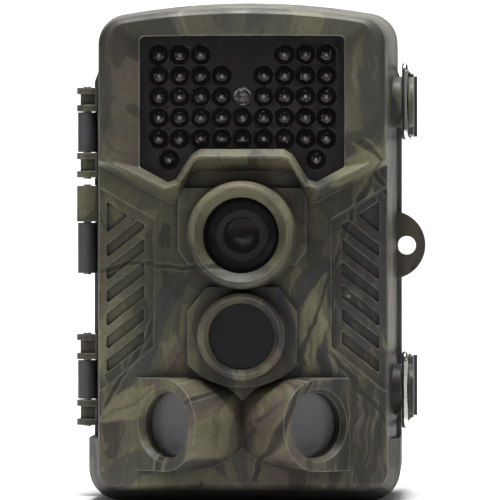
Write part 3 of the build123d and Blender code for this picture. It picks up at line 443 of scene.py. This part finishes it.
def battery_jacket():
    """Plain foil jacket: slate blue body with a silver band at each end and a faint lengthwise sheen."""
    t = Tree("cell_jacket")
    _, _, z = t.xyz()
    low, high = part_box("dry_cells")
    lane = t.math("FRACT", t.mul(t.sub(z, low.z), 2 / (high.z - low.z)))
    ends = t.step(t.math("ABSOLUTE", t.sub(lane, 0.5)), 0.455, 0.460)
    sheen = t.noise(500.0, 3.0, 0.5, vector=t.map(scale=(1, 1, 0.05)))
    c = t.mix(ends, srgb(58, 74, 92), srgb(150, 152, 154))
    c = t.mix(t.step(sheen, 0.5, 0.8, 0.0, 0.3), c, srgb(92, 104, 118))
    r = t.step(sheen, 0.3, 0.7, 0.22, 0.34)
    return t.out(c, r, t.bump(sheen, 0.00002, 0.4, t.rounded(0.0003)), Specular_IOR_Level=0.5)


def rubber(name, colour, rough):
    """Rubber with a fine matt speckle."""
    t = Tree(name)
    speck = t.noise(2200.0, 3.0, 0.7)
    cloud = t.noise(90.0, 3.0)
    pale = tuple(min(1, c * 1.7 + 0.015) for c in colour)
    c = t.mix(t.step(cloud, 0.35, 0.7, 0.0, 0.5), colour, pale)
    c = t.mix(t.step(speck, 0.6, 0.8, 0.0, 0.35), c, pale)
    r = t.step(speck, 0.3, 0.7, rough - 0.06, rough + 0.10)
    return t.out(c, r, t.bump(speck, 0.00003, 0.6, t.rounded(0.0004)), Specular_IOR_Level=0.35)


def display():
    """Dark display with a faint pixel grid and a polariser's sheen."""
    t = Tree("screen_panel")
    x, _, z = t.xyz()
    gx = t.math("FRACT", t.mul(x, PIXELS_PER_METRE))
    gz = t.math("FRACT", t.mul(z, PIXELS_PER_METRE))
    grid = t.math("MAXIMUM", t.step(gx, 0.80, 0.92), t.step(gz, 0.80, 0.92))
    c = t.mix(t.mul(grid, 0.5), srgb(26, 28, 34), srgb(14, 15, 18))
    r = t.step(t.noise(60.0, 3.0), 0.3, 0.7, 0.16, 0.24)
    return t.out(c, r, t.bump(grid, 0.000006, 0.4), Specular_IOR_Level=0.5)


def ceramic(name, colour, glint):
    """Smooth chip face with fine bright specks."""
    t = Tree(name)
    speck = t.noise(3200.0, 2.0, 0.6)
    c = t.mix(t.step(speck, 0.5, 0.7, 0.0, 0.6), colour, glint)
    return t.out(c, t.step(speck, 0.3, 0.7, 0.12, 0.24), t.bump(speck, 0.00001, 0.4))


M = {
    "camo_plastic": film(),
    "charcoal_plastic": moulded("charcoal_plastic", srgb(58, 58, 60), 0.48, 1300.0, 0.00006),
    "lever_plastic": moulded("lever_plastic", srgb(46, 46, 48), 0.40, 1700.0, 0.00003),
    "black_plastic": moulded("black_plastic", srgb(26, 25, 27), 0.46, 1500.0, 0.00005),
    "chip_plastic": moulded("chip_plastic", srgb(40, 40, 43), 0.42, 2400.0, 0.00003),
    "seal_rubber": rubber("seal_rubber", srgb(30, 30, 31), 0.66),
    "key_rubber": rubber("key_rubber", srgb(88, 88, 92), 0.55),
    "steel": metal("steel", srgb(188, 188, 190), 0.30),
    "bright_wire": metal("bright_wire", srgb(214, 212, 208), 0.20, (1, 1, 0.03), 1400.0, 0.28),
    "brass": metal("brass", srgb(196, 160, 92), 0.30, (1, 1, 6.0), 400.0),
    "cell_jacket": battery_jacket(),
    "smoked_window": glass("smoked_window", (0.84, 0.82, 0.82), 1.38, 0.01, 0.02),
    "lamp_resin": glass("lamp_resin", (0.74, 0.73, 0.75), 1.53, 0.02, 0.03),
    "clear_resin": glass("clear_resin", (0.98, 0.98, 1.0), 1.50, 0.02, 0.03),
    "clear_glass": glass("clear_glass", (0.93, 0.94, 0.95), 1.50, 0.01, 0.03),
    "coated_glass": glass("coated_glass", (0.62, 0.50, 0.55), 1.30, 0.01, 0.02),
    "deep_glass": glass("deep_glass", (0.26, 0.07, 0.09), 1.60, 0.08, 0.05, 0.0),
    "silicon": ceramic("silicon", srgb(60, 44, 66), srgb(120, 84, 110)),
    "circuit_board": board("circuit_board", srgb(24, 66, 44)),
    "eye_smoke": glass("eye_smoke", (0.004, 0.004, 0.005), 1.33, 0.30, 0.12, 0.0),
    "eye_fresnel": fresnel_eye(),
    "screen_panel": display(),
}
SLOT = {s["node"]: s["material_slot"] for s in frame["record"]["subparts"] if "node" in s}
for node_name, obj in NODES.items():
    material = M["deep_glass" if node_name == "rear_lens" else SLOT[node_name]]
    if obj.material_slots:
        for place in obj.material_slots:
            place.material = material
    else:
        obj.data.materials.append(material)


# ------------------------------------------------------------------ pieces built here
def islands(node_name):
    """Middle and half size of each separate solid of a CAD node."""
    low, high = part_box(node_name)
    bm = bmesh.new()
    bm.from_mesh(NODES[node_name].data)
    bmesh.ops.remove_doubles(bm, verts=bm.verts, dist=1e-6)
    seen, found = set(), []
    for seed in bm.verts:
        if seed.index in seen:
            continue
        stack, group = [seed], []
        seen.add(seed.index)
        while stack:
            v = stack.pop()
            group.append(v.co.copy())
            for e in v.link_edges:
                w = e.other_vert(v)
                if w.index not in seen:
                    seen.add(w.index)
                    stack.append(w)
        lo = Vector(tuple(min(p[i] for p in group) for i in range(3)))
        hi = Vector(tuple(max(p[i] for p in group) for i in range(3)))
        found.append(((lo + hi) / 2, (hi - lo) / 2))
    bm.free()
    return found


def linked(name, data):
    """A new object in the scene."""
    obj = bpy.data.objects.new(name, data)
    bpy.context.scene.collection.objects.link(obj)
    return obj


def smooth_mesh(name, bm):
    """A smooth-shaded mesh from a bmesh, which is freed."""
    mesh = bpy.data.meshes.new(name)
    bmesh.ops.recalc_face_normals(bm, faces=bm.faces)
    bm.to_mesh(mesh)
    bm.free()
    for p in mesh.polygons:
        p.use_smooth = True
    return mesh


def made(name, bm, material, body):
    """A piece built here, riding on a body."""
    mesh = smooth_mesh(name, bm)
    obj = linked(name, mesh)
    mesh.materials.append(material)
    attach(obj, body)
    return obj


def spin(bm, section, centre, sides=32):
    """Turn a closed (radius, y) section about a fore-and-aft axis through a centre."""
    rings = []
    for k in range(sides):
        a = 2 * math.pi * k / sides
        rings.append([
            bm.verts.new((centre[0] + r * math.cos(a), y, centre[2] + r * math.sin(a)))
            for r, y in section
        ])
    for k in range(sides):
        here, there = rings[k], rings[(k + 1) % sides]
        for i in range(len(section)):
            j = (i + 1) % len(section)
            bm.faces.new((here[i], here[j], there[j], there[i]))


# pale domed die under the nose of each lamp's resin, coloured near white as a painted highlight dot for each
# lamp
DIE_RADIUS = 0.00042
DIE_SETBACK = 0.0012  # from the resin's nose to the dome
DIE_LENGTH = 0.0012
NEAR_AXIS = 0.00002  # inner radius that keeps a spun face from shrinking to nothing
DOME_STEPS = 6
dies = bmesh.new()
for centre, half in islands("infrared_lamps"):
    y0 = centre.y - half.y + DIE_SETBACK
    section = [(NEAR_AXIS, y0)]
    for k in range(1, DOME_STEPS + 1):
        a = math.radians(90 * k / DOME_STEPS)
        section.append((DIE_RADIUS * math.sin(a), y0 + DIE_RADIUS * (1 - math.cos(a))))
    section += [(DIE_RADIUS, y0 + DIE_LENGTH), (NEAR_AXIS, y0 + DIE_LENGTH)]
    spin(dies, section, centre, 20)
# painted highlight: the near-white colour makes each die show as a bright dot
die_painted_highlight = moulded("lamp_die_painted_highlight", srgb(250, 250, 250), 0.25, 3000.0, 0.00001, 0.1, 0.00005)
made("lamp_dies", dies, die_painted_highlight, "front")

# reflector cup of the light sensor
CUP_SETBACK = 0.0024  # from the sensor's nose to the cup's rim
s_low, s_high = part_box("light_sensor")
sensor_mid = (s_low + s_high) / 2
cup = bmesh.new()
y0 = s_low.y + CUP_SETBACK
spin(cup, [
    (0.00005, y0 + 0.0008), (0.0010, y0 + 0.0008), (0.0017, y0), (0.0019, y0), (0.0019, y0 + 0.0018),
    (0.00005, y0 + 0.0018),
], sensor_mid, 28)
cup_silver = metal("sensor_cup_silver", srgb(228, 228, 230), 0.24, (1, 1, 1))
made("sensor_cup", cup, cup_silver, "front")

# iris between the lens elements
IRIS_SETBACK = 0.0006  # behind the front lens
l_low, l_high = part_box("front_lens")
lens_mid = (l_low + l_high) / 2
iris = bmesh.new()
y0 = l_high.y + IRIS_SETBACK
spin(iris, [
    (0.00100, y0 + 0.0001), (0.0022, y0), (0.0044, y0 - 0.0003), (0.0044, y0 + 0.0001), (0.0022, y0 + 0.0004),
    (0.00100, y0 + 0.0003),
], lens_mid, 64)
iris_black = moulded("iris_black", srgb(20, 19, 21), 0.5, 3000.0, 0.00001, edge_radius=0.00005)
made("lens_iris", iris, iris_black, "front")

# coil springs for the cells, where the CAD has plain rings
WIRE = 0.0003  # radius of the wire
WIRE_SIDES = 8
COIL_TURNS = 3.5
COIL_STEPS = 120
COIL_TAPER = 0.30  # share of the radius lost towards the small end
END_SHARE = 0.14  # share of the coil that lies flat at each end
groups = []
for centre, half in islands("cell_springs"):
    for g in groups:
        if (g[0] - centre).xy.length < 0.003 and abs(g[0].z - centre.z) < 0.010:
            g[1].append((centre, half))
            break
    else:
        groups.append((centre, [(centre, half)]))
coils = bmesh.new()
for _, members in groups:
    bottom = min(c.z - h.z for c, h in members) + WIRE
    top = max(c.z + h.z for c, h in members) - WIRE
    radius = max(h.x for c, h in members) - WIRE
    mid = members[0][0]
    small_at_top = max(members, key=lambda m: m[0].z)[1].x < max(m[1].x for m in members) - 1e-4
    rings = []
    for k in range(COIL_STEPS + 1):
        s = k / COIL_STEPS
        a = 2 * math.pi * COIL_TURNS * s
        climb = min(max((s - END_SHARE) / (1 - 2 * END_SHARE), 0.0), 1.0)
        share = s if small_at_top else 1 - s
        r = radius * (1 - COIL_TAPER * share)
        p = Vector((mid.x + r * math.cos(a), mid.y + r * math.sin(a), bottom + (top - bottom) * climb))
        out = Vector((math.cos(a), math.sin(a), 0))
        up = Vector((0, 0, 1))
        rings.append([
            coils.verts.new(p + out * WIRE * math.cos(b) + up * WIRE * math.sin(b))
            for b in [2 * math.pi * i / WIRE_SIDES for i in range(WIRE_SIDES)]
        ])
    for k in range(COIL_STEPS):
        for i in range(WIRE_SIDES):
            j = (i + 1) % WIRE_SIDES
            coils.faces.new((rings[k][i], rings[k][j], rings[k + 1][j], rings[k + 1][i]))
    coils.faces.new(rings[0])
    coils.faces.new(rings[-1][::-1])
springs = made("cell_spring_coils", coils, M["steel"], "rear")
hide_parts("cell_springs")


# ------------------------------------------------------------------ floor, light and camera
FLOOR_REACH = 1.8  # towards the camera and to each side
COVE_START = 1.05  # the floor begins to curve up this far behind the part
COVE_RADIUS = 0.35
COVE_STEPS = 12
WALL_TOP = 1.1
WORLD_STRENGTH = 0.07
low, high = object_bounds()
middle = (low + high) / 2
sweep = bmesh.new()
profile = [(-FLOOR_REACH, 0.0), (COVE_START, 0.0)]
for k in range(1, COVE_STEPS + 1):
    a = math.radians(90 * k / COVE_STEPS)
    profile.append((COVE_START + COVE_RADIUS * math.sin(a), COVE_RADIUS * (1 - math.cos(a))))
profile.append((COVE_START + COVE_RADIUS, WALL_TOP))
columns = [[sweep.verts.new((x, y, low.z + z)) for y, z in profile] for x in (-FLOOR_REACH, FLOOR_REACH)]
for k in range(len(profile) - 1):
    sweep.faces.new((columns[0][k], columns[1][k], columns[1][k + 1], columns[0][k + 1]))
sweep_mesh = smooth_mesh("floor", sweep)
floor = linked("floor", sweep_mesh)
paper = Tree("floor_paper")
paper_tone = paper.mix(paper.step(paper.noise(5.0, 2.0), 0.3, 0.7), (0.74, 0.74, 0.74), (0.77, 0.77, 0.77))
sweep_mesh.materials.append(paper.out(paper_tone, 0.9, Specular_IOR_Level=0.0))

world = bpy.data.worlds.new("studio")
bpy.context.scene.world = world
world.use_nodes = True
world.node_tree.nodes["Background"].inputs["Color"].default_value = (1.0, 1.0, 1.0, 1.0)
world.node_tree.nodes["Background"].inputs["Strength"].default_value = WORLD_STRENGTH


def area(name, place, target, size, power, shape=1.0):
    """A rectangular light aimed at a target; shape is its height over its width."""
    data = bpy.data.lights.new(name, "AREA")
    data.shape = "RECTANGLE"
    data.size = size
    data.size_y = size * shape
    data.energy = power
    obj = linked(name, data)
    obj.location = place
    obj.rotation_mode = "QUATERNION"
    obj.rotation_quaternion = (Vector(target) - Vector(place)).to_track_quat("-Z", "Y")


area("key_top", (0.01, -0.17, 0.82), middle, 0.34, 15.0, 0.5)
area("front_left", (-0.70, -0.60, 0.34), middle, 0.22, 0.85)
area("front_right", (0.75, -0.55, 0.34), middle, 0.22, 0.75)
area("backdrop_wash", (0.0, 0.55, 1.10), (0.0, 1.35, 0.20), 0.9, 20.0, 0.4)

CAMERA_YAW = math.radians(3.0)
CAMERA_DISTANCE = 1.0
AIM_X = 0.0008
camera_data = bpy.data.cameras.new("camera")
camera_data.lens = 264.0
camera_data.sensor_width = 36.0
camera_data.clip_start = 0.01
camera = linked("camera", camera_data)
aim = Vector((AIM_X, middle.y, middle.z))
camera.location = aim + Vector((math.sin(CAMERA_YAW), -math.cos(CAMERA_YAW), 0.0)) * CAMERA_DISTANCE
camera.rotation_mode = "QUATERNION"
camera.rotation_quaternion = (aim - camera.location).to_track_quat("-Z", "Y")
bpy.context.scene.camera = camera
bpy.context.scene.view_settings.view_transform = "Standard"
